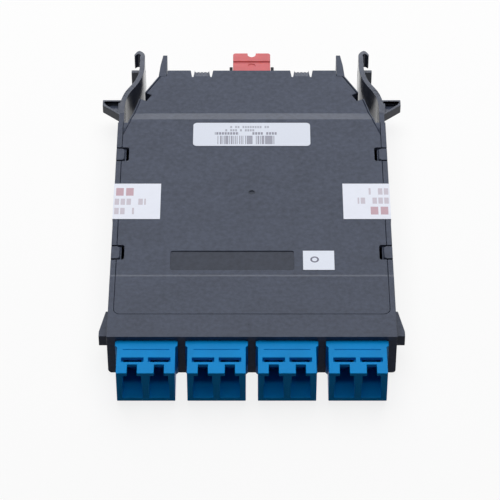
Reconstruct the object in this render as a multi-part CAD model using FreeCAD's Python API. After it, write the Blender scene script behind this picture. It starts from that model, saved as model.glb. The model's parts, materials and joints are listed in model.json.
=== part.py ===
import FreeCAD, Part
import math
import os

# Fibre cassette: a flat moulded box with four duplex LC adapters across its
# front, one MPO adapter at its back, and two squeeze latches behind its sides.
# Millimetres. X is across, Y runs from the front to the back, Z is up.
# The origin is the middle of the box's underside.

Vector = FreeCAD.Vector

# Box
BOX_WIDTH = 67.8
BOX_LENGTH = 98.0
BOX_HEIGHT = 12.0
FLOOR = 1.4
WALL = 2.2                  # side and rear walls below the cover
RIM = 1.3                   # what is left of the side wall beside the cover
FRAME_DEPTH = 7.5           # solid front frame that carries the adapters
COVER_THICKNESS = 1.1
COVER_CORNER = 1.5
FIT = 0.1                   # clearance between two moulded parts
REST = 0.05                 # clearance under a part that stands on the floor
EDGE = 0.5                  # broken outer edges

# Roof line: two gentle falls towards the back
STEP_FROM_FRONT = 20.2
STEP_FALL = 0.25
STEP_RUN = 0.8
SLOPE_FROM_REAR = 20.4
SLOPE_FALL = 0.9
SLOPE_RUN = 3.3

# Tapered back of the box, as steps inwards and distances from the rear edge
LATCH_ROOT_FROM_REAR = 21.6
WAIST_INSET = 2.53          # from the flat behind the latch root
WAIST_FROM_REAR = 11.6
SHOULDER_INSET = 4.8        # from the waist
SHOULDER_FROM_REAR = 2.5
REAR_INSET = 2.4            # from the shoulder
FIN_LENGTH = 6.1            # behind the rear edge
FIN_ROOT = 2.1              # thickness where the fin leaves the shoulder
FIN_MIDDLE = 1.7
FIN_TIP = 1.1

# Side latch arms
ARM_THICKNESS = 1.27
ARM_INSET = 0.2             # from the side of the box to the arm's outer face
ARM_SLOT = 1.0              # gap between the arm and the box
ARM_STUB = 4.2              # from the arm's root to where it starts to bend
ARM_STRAIGHT = 5.9          # from there to the middle of the first bend
ARM_SLANT = 7.5             # length along Y between the middles of the two bends
ARM_OFFSET = 4.64           # how far they carry the arm inwards
ARM_TAIL = 8.7              # from the second bend to the curl of the grip
ARM_BEND = 15.2             # radius of the two bends, on the arm's middle
SEAT_GAP = 0.055            # clearance round the arm's rolled root
GRIP_CURL = 1.8             # radius of the grip's outward curl, on its middle
GRIP_THICKNESS = 1.1
GRIP_UPPER_TURN = 100.0     # degrees that the curl turns above
GRIP_UPPER_HEIGHT = 4.6
GRIP_LOWER_REACH = 3.1      # of the flat tab below, beyond the arm's middle
GRIP_LOWER_HEIGHT = 5.5

# Catch lug on each arm and stop ear on each side wall
LUG_LOW = 5.1
LUG_HEIGHT = 2.5
LUG_START = 3.5             # behind the arm's pivot
LUG_RAMP = 3.8
LUG_CREST = 2.1
LUG_REACH = 4.5             # beyond the side of the box
LUG_WALL = 0.7
LUG_WEB = 1.5               # web left under the cored pocket
EAR_LOW = 4.5
EAR_HEIGHT = 3.1
EAR_FROM_FRONT = 4.5
EAR_LENGTH = 8.3
EAR_REACH = 2.2             # beyond the side of the box
EAR_TAIL_REACH = 0.8

# Snap fingers in the side walls and the notches they close over
SNAP_FROM_FRONT = 26.7
SNAP_FROM_REAR = 35.8
SNAP_LENGTH = 4.2
SNAP_SLIT = 0.45
SNAP_SLIT_DEPTH = 8.0
SNAP_HEAD_REACH = 1.0
SNAP_HEAD_HEIGHT = 0.55
SNAP_NOTCH_REACH = 1.9
SNAP_WELL = 0.7             # through slot of the cover beside the hook's tip

# Notches in the tapered sides, and snap tabs between two slits in the rear edge
TAPER_NOTCH_LENGTH = 2.7
TAPER_NOTCH_DEPTH = 2.0
TAPER_NOTCH_DROP = 6.0      # below the roof, through the cover and the wall under it
TAPER_NOTCH_PLACE = 0.17    # along the second tapered side, from the waist
REAR_TAB_HALF = 12.9
REAR_TAB_WIDTH = 3.6
REAR_SLIT_WIDTH = 1.1
REAR_SLIT_LENGTH = 2.6
REAR_SLIT_DROP = 3.4        # below the roof, down the rear wall
REAR_TAB_RUN = 2.3          # sloped end of each tab
REAR_TAB_FALL = 0.6
REAR_TAB_RIDGES = 3
REAR_TAB_GROOVE = 0.35      # width of the grooves beside the ridges
REAR_TAB_GROOVE_DEPTH = 0.15

# Marks moulded into the cover
PLATE_LEFT = -19.55
PLATE_WIDTH = 29.7
PLATE_FROM_FRONT = 22.6
PLATE_LENGTH = 6.7
PLATE_DEPTH = 0.2
PLATE_CORNER = 0.6
GATE_FROM_FRONT = 50.2
GATE_RADIUS = 0.65
GATE_DEPTH = 0.25

# Duplex LC adapters
ADAPTER_COUNT = 4
ADAPTER_MARGIN = 1.1        # from the side of the box to the first adapter's bay
ADAPTER_WEB = 2.8           # of the frame, between two adapters
ADAPTER_ROOF = 1.25         # of the frame, over the adapters
ADAPTER_LENGTH = 27.5
ADAPTER_OUT = 10.55         # in front of the box
FLANGE_REACH = 0.5          # beyond the adapter's side
FLANGE_DEPTH = 2.2
FLANGE_CHAMFER = 0.6
PORT_PITCH = 6.25
PORT_WIDTH = 4.7
PORT_HEIGHT = 4.7
PORT_FLOOR = 1.05
PORT_ROOF = 0.95
LATCH_CHANNEL_WIDTH = 4.3
WEB_THICKNESS = 1.9         # wall across the middle of the adapter
LATCH_SLOT_WIDTH = 2.3
LATCH_SLOT_LENGTH = 2.9
WINDOW_WIDTH = 5.2
WINDOW_LENGTH = 1.4
WINDOW_FROM_MOUTH = 3.7
GROOVE_INSET = 1.4          # from the adapter's side
GROOVE_LENGTH = 0.3
GROOVE_DEPTH = 0.15
GROOVE_BEFORE_FLANGE = 0.55
BARB_REACH = 0.6            # side barbs that lock the adapter in the frame
BARB_LENGTH = 2.6
BARB_HEIGHT = 3.0
BARB_RISE = 1.0             # of the barbs' middle above the ports' axis
HOLDER_RADIUS = 1.5         # tube that holds the alignment sleeve
HOLDER_LENGTH = 4.2
HOLDER_REAR_SIDES = 8       # flats round its half behind the middle wall
HOLDER_MOUTH_SIDES = 8      # flats round the lip that keeps the sleeve in

# Ceramic alignment sleeves and the plugs behind them
SLEEVE_LENGTH = 6.6
SLEEVE_WALL = 0.18
SLEEVE_SLIT = 0.25
FERRULE_RADIUS = 0.625
FERRULE_LENGTH = 9.0
FERRULE_SIDES = 12
FERRULE_FIT = 0.01
SOCKET_SIDES = 6            # flats that grip the ferrule in its plug
PLUG_SIZE = 4.5
PLUG_BEHIND = 6.0           # length of the plug behind the adapter
PLUG_NOSE = 3.4             # square opening round the sleeve's holder
LEVER_WIDTH = 2.0
LEVER_THICKNESS = 0.7
BOOT_LENGTH = 6.0
BOOT_RADIUS = 1.7
BOOT_TIP_RADIUS = 0.9
BOOT_SIDES = 8

# Fibres and the fan-out block that gathers them
FIBRE_RADIUS = 0.45
FIBRE_SIDES = 5
FIBRE_GATHER = 1.3          # distance between neighbours in the block
FIBRE_LEAD = 1.2            # straight stretch at each end
FIBRE_BEND = 10.0           # radius of its two bends
FIBRE_STAGGER = 2.8         # each fibre reaches the block this much before its outer neighbour
FANOUT_LENGTH = 5.0
FANOUT_HEIGHT = 3.2
FANOUT_MARGIN = 0.8

# MPO adapter, the plug inside it and the dust cap outside
MPO_WIDTH = 11.5
MPO_INSIDE = 20.0           # length in front of the rear edge
MPO_OUTSIDE = 2.8           # length behind it
MPO_WALL = 0.8
MPO_COLLAR_REACH = 1.2
MPO_COLLAR_LENGTH = 1.5
MPO_RIB = 1.2               # ribs of the base that trap the collar
MPO_PLUG_REACH = 11.0       # how deep the plug goes into the adapter
SLEEVE_OUTER_WIDTH = 12.4
SLEEVE_OUTER_LENGTH = 9.0
MPO_BOOT_LENGTH = 5.0
MPO_BOOT_WIDTH = 8.6
MPO_BOOT_HEIGHT = 4.4
MT_WIDTH = 6.4
MT_HEIGHT = 2.5
MT_PROUD = 1.2              # MT ferrule in front of the plug's face
MT_SEAT = 3.6               # and behind it
PIN_RADIUS = 0.35
PIN_FIT = 0.02
PIN_ROOT = 1.2              # of each pin behind the plug's face
PIN_PITCH = 4.6
PIN_PROUD = 2.0
CAP_WIDTH = 9.7
CAP_RISE = 3.9              # from the port's middle to the grip's top
CAP_LENGTH = 8.6            # visible grip behind the rear edge
CAP_WALL = 1.0
CAP_NOSE_LENGTH = 4.0       # what is inside the adapter
CAP_CORNER = 0.7
CAP_GROOVE_FROM_END = 3.2
CAP_GROOVE_WIDTH = 1.0
CAP_GROOVE_DEPTH = 0.35
CAP_DIMPLE_RADIUS = 1.0
CAP_DIMPLE_DEPTH = 0.2
CAP_NOTCH_RADIUS = 1.05
CAP_NOTCH_LENGTH = 1.5

# Cover posts inside the base
POST_SIZE = 2.8
POST_FROM_SIDE = 12.9
POST_FROM_REAR = 30.0

# Labels and seals
FILM = 0.1
LABEL_WIDTH = 29.5
LABEL_LENGTH = 8.8
LABEL_FROM_REAR = 26.3
LABEL_CORNER = 1.0
TAG_LEFT = 12.3
TAG_WIDTH = 7.5
TAG_LENGTH = 6.6
SEAL_WIDTH = 12.8
SEAL_FROM_FRONT = 40.4
SEAL_ON_TOP = 11.5
SEAL_ON_SIDE = 6.5

# Places that follow from the sizes
HALF = BOX_WIDTH / 2
FRONT = -BOX_LENGTH / 2
REAR = BOX_LENGTH / 2
MID_TOP = BOX_HEIGHT - STEP_FALL
REAR_TOP = MID_TOP - SLOPE_FALL
LATCH_ROOT = REAR - LATCH_ROOT_FROM_REAR
PIVOT = LATCH_ROOT + ARM_STUB
ARM_OUTER = HALF - ARM_INSET
ARM_MIDDLE = ARM_OUTER - ARM_THICKNESS / 2
BACK_HALF = ARM_OUTER - ARM_THICKNESS - ARM_SLOT
WAIST_HALF = BACK_HALF - WAIST_INSET
SHOULDER_HALF = WAIST_HALF - SHOULDER_INSET
REAR_HALF = SHOULDER_HALF - REAR_INSET
FIN_INNER_HALF = SHOULDER_HALF - FIN_ROOT
ADAPTER_PITCH = (BOX_WIDTH - 2 * ADAPTER_MARGIN) / ADAPTER_COUNT
ADAPTER_WIDTH = ADAPTER_PITCH - ADAPTER_WEB
FLANGE_WIDTH = ADAPTER_WIDTH + 2 * FLANGE_REACH
ADAPTER_FRONT = FRONT - ADAPTER_OUT
ADAPTER_REAR = ADAPTER_FRONT + ADAPTER_LENGTH
ADAPTER_MID = (ADAPTER_FRONT + ADAPTER_REAR) / 2
ADAPTER_LOW = FLOOR + REST
ADAPTER_TOP = BOX_HEIGHT - ADAPTER_ROOF
PORT_LOW = ADAPTER_LOW + PORT_FLOOR
PORT_AXIS = PORT_LOW + PORT_HEIGHT / 2
SLEEVE_BORE = FERRULE_RADIUS + FERRULE_FIT
SLEEVE_RADIUS = SLEEVE_BORE + SLEEVE_WALL
PLUG_REAR = ADAPTER_REAR + PLUG_BEHIND
BOOT_REAR = PLUG_REAR + BOOT_LENGTH
MPO_LOW = FLOOR + REST
MPO_HEIGHT = REAR_TOP - COVER_THICKNESS - FIT - MPO_LOW
MPO_PORT_WIDTH = MPO_WIDTH - 2 * MPO_WALL
MPO_PORT_HEIGHT = MPO_HEIGHT - 2 * MPO_WALL
MPO_AXIS = MPO_LOW + MPO_HEIGHT / 2
MPO_FRONT = REAR - MPO_INSIDE
MPO_NOSE = REAR + MPO_OUTSIDE
COLLAR_REAR = REAR - WALL - FIT
COUPLER_FRONT = MPO_FRONT - FIT - SLEEVE_OUTER_LENGTH
FANOUT_REAR = COUPLER_FRONT - MPO_BOOT_LENGTH
FANOUT_FRONT = FANOUT_REAR - FANOUT_LENGTH
CAP_FRONT = REAR + FIT
CAP_REAR = REAR + CAP_LENGTH


def block(x, y, z):
    """Box between three (low, high) pairs."""
    corner = Vector(x[0], y[0], z[0])
    return Part.makeBox(x[1] - x[0], y[1] - y[0], z[1] - z[0], corner)


def about(middle, width):
    """The (low, high) pair of a width about its middle."""
    return (middle - width / 2, middle + width / 2)


def prism(outline, z):
    """Upright prism on a plan outline of corner points."""
    corners = [Vector(px, py, z[0]) for px, py in outline + outline[:1]]
    return Part.Face(Part.makePolygon(corners)).extrude(Vector(0, 0, z[1] - z[0]))


def side_prism(profile, x):
    """Prism across X on a side profile of (y, z) points."""
    corners = [Vector(x[0], py, pz) for py, pz in profile + profile[:1]]
    return Part.Face(Part.makePolygon(corners)).extrude(Vector(x[1] - x[0], 0, 0))


def rod(x, z, radius, y):
    """Round bar along Y."""
    return Part.makeCylinder(radius, y[1] - y[0], Vector(x, y[0], z), Vector(0, 1, 0))


def mirrored(shape):
    """The same shape on the other side of the box."""
    return shape.mirror(Vector(0, 0, 0), Vector(1, 0, 0))


def round_section(centre, radius, sides):
    """Plain many-sided stand-in for a thin round section across Y."""
    turns = [math.tau * (i + 0.5) / sides for i in range(sides)]
    corners = [centre + Vector(math.cos(t), 0, math.sin(t)) * radius for t in turns]
    return Part.makePolygon(corners + corners[:1])


def flat_sided_rod(x, z, radius, y, sides):
    """Many-sided bar along Y, its corners at a radius."""
    outline = round_section(Vector(x, y[0], z), radius, sides)
    return Part.Face(outline).extrude(Vector(0, y[1] - y[0], 0))


def tapered(near, far):
    """Closed solid between two outlines of as many corners each."""
    a = [vertex.Point for vertex in near.OrderedVertexes]
    b = [vertex.Point for vertex in far.OrderedVertexes]
    faces = [Part.Face(near), Part.Face(far)]
    for i in range(len(a)):
        j = (i + 1) % len(a)
        faces.append(Part.Face(Part.makePolygon([a[i], a[j], b[j], b[i], a[i]])))
    return Part.makeSolid(Part.makeShell(faces))


def both_sides(shape):
    return [shape, mirrored(shape)]


def edges_along(shape, axis):
    """Straight edges that run along one axis."""
    lines = [edge for edge in shape.Edges if isinstance(edge.Curve, Part.Line)]
    return [edge for edge in lines if abs(edge.tangentAt(edge.FirstParameter).dot(axis)) > 0.999]


def rounded(shape, axis, radius):
    """Shape with its straight edges along one axis rounded."""
    return shape.makeFillet(radius, edges_along(shape, axis))


def inset(outline, distance):
    """Anticlockwise plan outline moved inwards, its corners kept sharp."""
    moved = []
    for i, here in enumerate(outline):
        before = outline[i - 1]
        after = outline[(i + 1) % len(outline)]
        run_in = Vector(here[0] - before[0], here[1] - before[1], 0).normalize()
        run_out = Vector(after[0] - here[0], after[1] - here[1], 0).normalize()
        side_in = Vector(-run_in.y, run_in.x, 0)
        side_out = Vector(-run_out.y, run_out.x, 0)
        shift = (side_in + side_out) * (distance / (1 + side_in.dot(side_out)))
        moved.append((here[0] + shift.x, here[1] + shift.y))
    return moved


def rounded_path(points, radius):
    """Lines through the points with a tangent arc at each inner one."""
    edges = []
    start = points[0]
    for i in range(1, len(points) - 1):
        corner = points[i]
        run_in = (corner - points[i - 1]).normalize()
        run_out = (points[i + 1] - corner).normalize()
        turn = run_in.getAngle(run_out)
        reach = radius * math.tan(turn / 2)
        arc_start = corner - run_in * reach
        arc_end = corner + run_out * reach
        to_centre = (run_out - run_in).normalize()
        middle = corner + to_centre * (radius / math.cos(turn / 2) - radius)
        edges.append(Part.LineSegment(start, arc_start).toShape())
        edges.append(Part.Arc(arc_start, middle, arc_end).toShape())
        start = arc_end
    edges.append(Part.LineSegment(start, points[-1]).toShape())
    return edges


def box_outline():
    """Plan of the box, anticlockwise from its front right corner."""
    right = [
        (HALF, FRONT),
        (HALF, LATCH_ROOT),
        (BACK_HALF, LATCH_ROOT),
        (WAIST_HALF, REAR - WAIST_FROM_REAR),
        (SHOULDER_HALF, REAR - SHOULDER_FROM_REAR),
        (REAR_HALF, REAR),
    ]
    return right + [(-px, py) for px, py in reversed(right)]


def under_roof(lowered=0.0):
    """All that lies below the roof line, or below a skin under it."""
    step = FRONT + STEP_FROM_FRONT
    slope = REAR - SLOPE_FROM_REAR
    past = FIN_LENGTH + CAP_LENGTH
    line = [
        (FRONT - past, BOX_HEIGHT),
        (step, BOX_HEIGHT),
        (step + STEP_RUN, MID_TOP),
        (slope, MID_TOP),
        (slope + SLOPE_RUN, REAR_TOP),
        (REAR + past, REAR_TOP),
    ]
    profile = [(py, pz - lowered) for py, pz in line]
    profile += [(REAR + past, -BOX_HEIGHT), (FRONT - past, -BOX_HEIGHT)]
    return side_prism(profile, (-BOX_WIDTH, BOX_WIDTH))


def cover_space(gap):
    """Upright block that the cover fills between the rims, grown by a gap."""
    front = FRONT + FRAME_DEPTH + FIT - gap
    width = BOX_WIDTH - 2 * (RIM + FIT - gap)
    space = block(about(0, width), (front, REAR + FIN_LENGTH), (0, BOX_HEIGHT * 2))
    corners = [e for e in edges_along(space, Vector(0, 0, 1)) if e.CenterOfMass.y < 0]
    return space.makeFillet(COVER_CORNER + gap, corners)


def snap_starts():
    """Front ends of the snap fingers along each side wall."""
    return [FRONT + SNAP_FROM_FRONT, REAR - SNAP_FROM_REAR]


def adapter_middles():
    first = -(ADAPTER_COUNT - 1) * ADAPTER_PITCH / 2
    return [first + i * ADAPTER_PITCH for i in range(ADAPTER_COUNT)]


def port_middles():
    """The two ports of each adapter, from left to right."""
    return [x + side * PORT_PITCH / 2 for x in adapter_middles() for side in (-1, 1)]


def fin():
    """Plan blade that carries the right tapered side on past the rear edge."""
    tip = REAR + FIN_LENGTH
    outline = [
        (FIN_INNER_HALF, REAR - WALL),
        (SHOULDER_HALF, REAR - SHOULDER_FROM_REAR),
        (FIN_INNER_HALF + FIN_MIDDLE, REAR + 0.35 * FIN_LENGTH),
        (FIN_INNER_HALF + FIN_TIP, tip),
        (FIN_INNER_HALF, tip),
    ]
    return prism(outline, (0, REAR_TOP))


def taper_notch():
    """Space of the notch in the right tapered side, through cover and wall."""
    waist = Vector(WAIST_HALF, REAR - WAIST_FROM_REAR, 0)
    shoulder = Vector(SHOULDER_HALF, REAR - SHOULDER_FROM_REAR, 0)
    along = (shoulder - waist).normalize()
    inward = Vector(-along.y, along.x, 0)
    middle = waist + (shoulder - waist) * TAPER_NOTCH_PLACE
    half = along * (TAPER_NOTCH_LENGTH / 2)
    deep = inward * TAPER_NOTCH_DEPTH
    out = inward * -TAPER_NOTCH_DEPTH
    corners = [middle - half + out, middle + half + out, middle + half + deep, middle - half + deep]
    return prism([(c.x, c.y) for c in corners], (MID_TOP - TAPER_NOTCH_DROP, BOX_HEIGHT * 2))


def rear_slits():
    """Tapering slits either side of the right rear tab, through cover and wall."""
    slits = []
    for edge in (-1, 1):
        middle = REAR_TAB_HALF + edge * (REAR_TAB_WIDTH + REAR_SLIT_WIDTH) / 2
        outline = [
            (middle + REAR_SLIT_WIDTH / 2, REAR + FIT),
            (middle - REAR_SLIT_WIDTH / 2, REAR + FIT),
            (middle - REAR_SLIT_WIDTH / 6, REAR - REAR_SLIT_LENGTH),
            (middle + REAR_SLIT_WIDTH / 6, REAR - REAR_SLIT_LENGTH),
        ]
        slits.append(prism(outline, (REAR_TOP - REAR_SLIT_DROP, BOX_HEIGHT)))
    return slits


def rear_tab_relief():
    """What the right rear tab lacks: its sloped end and the grooves in it."""
    def wedge(lowered):
        start = REAR - REAR_TAB_RUN
        floor = REAR_TOP - lowered
        above = BOX_HEIGHT
        return [(start, floor), (REAR + FIT, floor - REAR_TAB_FALL), (REAR + FIT, above), (start, above)]

    relief = [side_prism(wedge(0), about(REAR_TAB_HALF, REAR_TAB_WIDTH))]
    for i in range(REAR_TAB_RIDGES + 1):
        x = REAR_TAB_HALF + (i - REAR_TAB_RIDGES / 2) * REAR_TAB_WIDTH / (REAR_TAB_RIDGES + 1)
        relief.append(side_prism(wedge(REAR_TAB_GROOVE_DEPTH), about(x, REAR_TAB_GROOVE)))
    return relief


def stop_ear():
    """Ear on the right side wall; its flat front meets the tray."""
    front = FRONT + EAR_FROM_FRONT
    outline = [
        (HALF - RIM, front),
        (HALF + EAR_REACH, front),
        (HALF + EAR_REACH, front + EAR_LENGTH * 0.2),
        (HALF + EAR_TAIL_REACH, front + EAR_LENGTH),
        (HALF - RIM, front + EAR_LENGTH),
    ]
    return prism(outline, (EAR_LOW, EAR_LOW + EAR_HEIGHT))


def snap_slits(start):
    """The two slits that free a snap finger in the right side wall."""
    z = (MID_TOP - SNAP_SLIT_DEPTH, BOX_HEIGHT * 2)
    x = (HALF - WALL - FIT, HALF + FIT)
    ahead = block(x, (start - SNAP_SLIT, start), z)
    behind = block(x, (start + SNAP_LENGTH, start + SNAP_LENGTH + SNAP_SLIT), z)
    return [ahead, behind]


def snap_head(start):
    """Hook of a snap finger, which closes over the cover's notch."""
    tip = HALF - RIM - SNAP_HEAD_REACH
    low = MID_TOP - SNAP_HEAD_HEIGHT
    profile = [(HALF - RIM, low), (HALF - RIM, MID_TOP), (tip + 0.3, MID_TOP), (tip, low)]
    corners = [Vector(px, start, pz) for px, pz in profile + profile[:1]]
    return Part.Face(Part.makePolygon(corners)).extrude(Vector(0, SNAP_LENGTH, 0))


def arm_seat():
    """Hollow at the end of the right stub, where the arm's root rolls."""
    z = Vector(ARM_MIDDLE, PIVOT, -FLOOR)
    return Part.makeCylinder(ARM_THICKNESS / 2 + SEAT_GAP, BOX_HEIGHT * 2, z)


def mpo_passage():
    """Way out for the MPO adapter through the rear wall."""
    return block(about(0, MPO_WIDTH + 2 * FIT), (REAR - WALL - FIT, REAR + FIT), (FLOOR, BOX_HEIGHT))


def collar_ribs():
    """Ribs inside the right half of the rear wall that trap the MPO collar."""
    inner = MPO_WIDTH / 2 + FIT
    outer = inner + MPO_COLLAR_REACH + MPO_RIB
    front = COLLAR_REAR - MPO_COLLAR_LENGTH - FIT
    top = REAR_TOP - COVER_THICKNESS - REST
    ahead = block((inner, outer), (front - MPO_RIB, front), (FLOOR, top))
    side = block((outer - MPO_RIB + FIT, outer), (front - MPO_RIB, REAR - WALL), (FLOOR, top))
    return ahead.fuse(side)


def base():
    """Tray with the front frame, walls, snap fingers, ears, fins and stubs."""
    outline = box_outline()
    body = prism(outline, (0, BOX_HEIGHT)).common(under_roof())
    body = body.cut(cover_space(FIT).cut(under_roof(COVER_THICKNESS)))
    inside = prism(inset(outline, WALL), (FLOOR, BOX_HEIGHT * 2))
    behind_frame = (FRONT + FRAME_DEPTH, REAR)
    body = body.cut(inside.common(block(about(0, BOX_WIDTH), behind_frame, (0, BOX_HEIGHT * 2))))

    stub = block((ARM_OUTER - ARM_THICKNESS, ARM_OUTER), (LATCH_ROOT, PIVOT), (0, MID_TOP))
    added = both_sides(stub.cut(arm_seat()))
    added += both_sides(fin())
    added += both_sides(stop_ear())
    added += both_sides(collar_ribs())
    post_z = (FLOOR, MID_TOP - COVER_THICKNESS - REST)
    post = block(about(HALF - POST_FROM_SIDE, POST_SIZE), about(REAR - POST_FROM_REAR, POST_SIZE), post_z)
    added += both_sides(post)
    for start in snap_starts():
        added += both_sides(snap_head(start))
    body = body.fuse(added)

    removed = [mpo_passage()]
    for start in snap_starts():
        for slit in snap_slits(start):
            removed += both_sides(slit)
    for space in [taper_notch()] + rear_slits():
        removed += both_sides(space)
    for x in adapter_middles():
        opening_z = (FLOOR, ADAPTER_TOP + FIT)
        removed.append(block(about(x, ADAPTER_WIDTH + 2 * FIT),
                             (FRONT - FIT, FRONT + FRAME_DEPTH + FIT), opening_z))
        removed.append(barbs(x, FIT))
    return body.cut(removed).removeSplitter()


def cover():
    """Lid between the rims, which covers the tapered back to its outer face."""
    body = prism(box_outline(), (0, BOX_HEIGHT)).common(cover_space(0))
    body = body.common(under_roof()).cut(under_roof(COVER_THICKNESS))

    removed = []
    deep = MID_TOP - SNAP_HEAD_HEIGHT - FIT
    for start in snap_starts():
        inner = HALF - RIM - SNAP_NOTCH_REACH
        y = (start - SNAP_SLIT, start + SNAP_LENGTH + SNAP_SLIT)
        removed += both_sides(block((inner, HALF), y, (deep, BOX_HEIGHT)))
        removed += both_sides(block((inner, inner + SNAP_WELL), y, (FLOOR, BOX_HEIGHT)))
    removed += both_sides(fin().makeOffsetShape(FIT, 0.01))
    for space in [taper_notch()] + rear_slits() + rear_tab_relief():
        removed += both_sides(space)

    plate_y = FRONT + PLATE_FROM_FRONT
    plate = block((PLATE_LEFT, PLATE_LEFT + PLATE_WIDTH), (plate_y, plate_y + PLATE_LENGTH),
                  (MID_TOP - PLATE_DEPTH, BOX_HEIGHT))
    removed.append(rounded(plate, Vector(0, 0, 1), PLATE_CORNER))
    gate = Vector(0, FRONT + GATE_FROM_FRONT, MID_TOP - GATE_DEPTH)
    removed.append(Part.makeCylinder(GATE_RADIUS, BOX_HEIGHT, gate))
    return body.cut(removed).removeSplitter()


def latch_arm():
    """Right squeeze arm, bent inwards in an S, with its grip and catch lug."""
    bend = PIVOT + ARM_STRAIGHT
    middle_line = [
        Vector(ARM_MIDDLE, PIVOT, 0),
        Vector(ARM_MIDDLE, bend, 0),
        Vector(ARM_MIDDLE - ARM_OFFSET, bend + ARM_SLANT, 0),
        Vector(ARM_MIDDLE - ARM_OFFSET, bend + ARM_SLANT + ARM_TAIL, 0),
    ]
    path = Part.Wire(rounded_path(middle_line, ARM_BEND))
    corner = Vector(ARM_MIDDLE - ARM_THICKNESS / 2, PIVOT, 0)
    across = [corner, corner + Vector(ARM_THICKNESS, 0, 0)]
    rise = Vector(0, 0, MID_TOP)
    section = Part.makePolygon([across[0], across[1], across[1] + rise, across[0] + rise, across[0]])
    blade = path.makePipeShell([section], True, False)
    root = Part.makeCylinder(ARM_THICKNESS / 2, MID_TOP, middle_line[0])
    arm = blade.fuse([root, grip_curl(middle_line[-1]), grip_tab(middle_line[-1]), catch_lug(middle_line)])
    return arm.removeSplitter()


def grip_curl(end):
    """Upper grip: the arm's end curled outwards."""
    centre = end + Vector(GRIP_CURL, 0, MID_TOP - GRIP_UPPER_HEIGHT)
    outer = GRIP_CURL + ARM_THICKNESS / 2
    disc = Part.makeCylinder(outer, GRIP_UPPER_HEIGHT, centre, Vector(0, 0, 1), GRIP_UPPER_TURN)
    hole = Part.makeCylinder(outer - GRIP_THICKNESS, GRIP_UPPER_HEIGHT, centre)
    disc.rotate(centre, Vector(0, 0, 1), 180 - GRIP_UPPER_TURN)
    return disc.cut(hole)


def grip_tab(end):
    """Lower grip: a flat tab square to the arm, level with the curl's back."""
    back = end.y + GRIP_CURL
    foot = block((end.x - ARM_THICKNESS / 2, end.x + ARM_THICKNESS / 2), (end.y, back), (0, GRIP_LOWER_HEIGHT))
    tab = block((end.x, end.x + GRIP_LOWER_REACH), (back - GRIP_THICKNESS, back), (0, GRIP_LOWER_HEIGHT))
    return foot.fuse(tab)


def catch_lug(middle_line):
    """Cored triangular lug; its flat rear face holds the cassette in the tray."""
    start = PIVOT + LUG_START
    crest = start + LUG_RAMP
    back = crest + LUG_CREST
    bend, slant_end = middle_line[1], middle_line[2]
    along = (back - bend.y) / (slant_end.y - bend.y)
    arm_at_back = bend.x + (slant_end.x - bend.x) * along
    outline = [
        (ARM_MIDDLE, start),
        (HALF, start),
        (HALF + LUG_REACH, crest),
        (HALF + LUG_REACH, back),
        (arm_at_back, back),
        (bend.x, bend.y),
    ]
    lug = prism(outline, (LUG_LOW, LUG_LOW + LUG_HEIGHT))
    face = ARM_OUTER + LUG_WALL
    pocket = [
        (face, start + LUG_WALL * 1.6),
        (HALF + LUG_REACH - LUG_WALL, crest + LUG_WALL * 0.5),
        (HALF + LUG_REACH - LUG_WALL, back - LUG_WALL),
        (face, back - LUG_WALL),
    ]
    return lug.cut(prism(pocket, (LUG_LOW + LUG_WEB, BOX_HEIGHT)))


def barbs(x, grow):
    """Side barbs of an adapter, just behind the front frame."""
    front = FRONT + FRAME_DEPTH + FIT - grow
    half = ADAPTER_WIDTH / 2
    z = about(PORT_AXIS + BARB_RISE, BARB_HEIGHT + 2 * grow)
    outline = [
        (half - FIT, front),
        (half + BARB_REACH + grow, front),
        (half + BARB_REACH + grow, front + BARB_LENGTH * 0.3),
        (half - FIT, front + BARB_LENGTH + 2 * grow),
    ]
    right = prism([(x + px, py) for px, py in outline], z)
    left = right.mirror(Vector(x, 0, 0), Vector(1, 0, 0))
    return Part.makeCompound([right, left])


def port_space(x):
    """What is open in the front half of one LC port."""
    mouth = ADAPTER_FRONT - FIT
    web = ADAPTER_MID - WEB_THICKNESS / 2
    roof = ADAPTER_TOP - PORT_ROOF
    above = ADAPTER_TOP + FIT
    port_top = PORT_LOW + PORT_HEIGHT
    plug_way = block(about(x, PORT_WIDTH), (mouth, web), (PORT_LOW, port_top))
    latch_way = block(about(x, LATCH_CHANNEL_WIDTH), (mouth, web), (port_top, roof))
    slot = block(about(x, LATCH_SLOT_WIDTH), (mouth, ADAPTER_FRONT + LATCH_SLOT_LENGTH), (roof, above))
    window_y = ADAPTER_FRONT + WINDOW_FROM_MOUTH
    window = block(about(x, WINDOW_WIDTH), (window_y, window_y + WINDOW_LENGTH), (roof, above))
    return plug_way.fuse([latch_way, slot, window])


def sleeve_holder(x):
    """Tube through the adapter's middle wall, with a lip at its front end."""
    half = WEB_THICKNESS / 2 + HOLDER_LENGTH
    front = ADAPTER_MID - half
    tube = rod(x, PORT_AXIS, HOLDER_RADIUS, (front, ADAPTER_MID))
    rear = flat_sided_rod(x, PORT_AXIS, HOLDER_RADIUS, (ADAPTER_MID, ADAPTER_MID + half), HOLDER_REAR_SIDES)
    bore_y = (ADAPTER_MID - SLEEVE_LENGTH / 2 - FIT, ADAPTER_MID + half + FIT)
    bore = rod(x, PORT_AXIS, SLEEVE_RADIUS + REST, bore_y)
    lip_radius = (FERRULE_RADIUS + FIT) / math.cos(math.pi / HOLDER_MOUTH_SIDES)
    mouth = flat_sided_rod(x, PORT_AXIS, lip_radius, (front - FIT, ADAPTER_MID), HOLDER_MOUTH_SIDES)
    return tube.fuse(rear), bore.fuse(mouth)


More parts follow.
